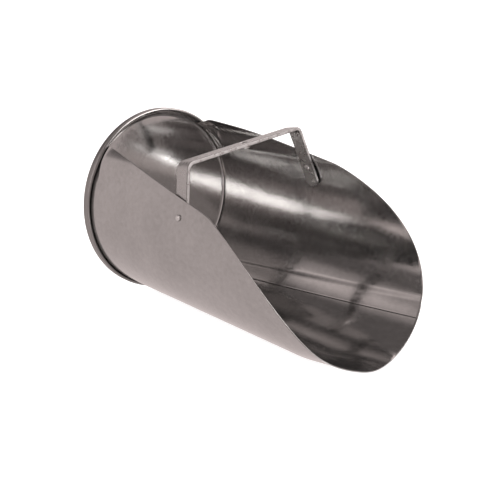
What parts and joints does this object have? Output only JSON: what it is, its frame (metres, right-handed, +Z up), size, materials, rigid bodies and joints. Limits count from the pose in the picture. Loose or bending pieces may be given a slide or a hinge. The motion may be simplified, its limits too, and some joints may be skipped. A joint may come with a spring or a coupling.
{
  "type": "feed scoop",
  "caption": "Round sheet-metal feed scoop with a slanted open mouth, a flanged disc closing the back and a riveted flat-bar handle across the opening.",
  "frame": {"origin": "centre of the bounding box's lower face, on the surface that the scoop lies on", "axes": "+X along the body from the back disc to the mouth, +Z up through the handle, +Y to the left of the body"},
  "size_m": [0.2578, 0.1764, 0.1764],
  "materials": {
    "galvanised_sheet": "zinc-coated rolled sheet, half glossy with soft mottling and light scratches",
    "galvanised_cap": "zinc-coated pressed sheet, glossy enough to mirror the inside of the body",
    "galvanised_bar": "zinc-coated flat bar, satin",
    "rivet_steel": "plated rivet, satin with a worn head"
  },
  "bodies": {
    "root": {"body_sheet_right": "galvanised_sheet", "body_sheet_left": "galvanised_sheet", "end_cap": "galvanised_cap", "handle_strap": "galvanised_bar", "rivet_right": "rivet_steel", "rivet_left": "rivet_steel"}
  },
  "joints": []
}
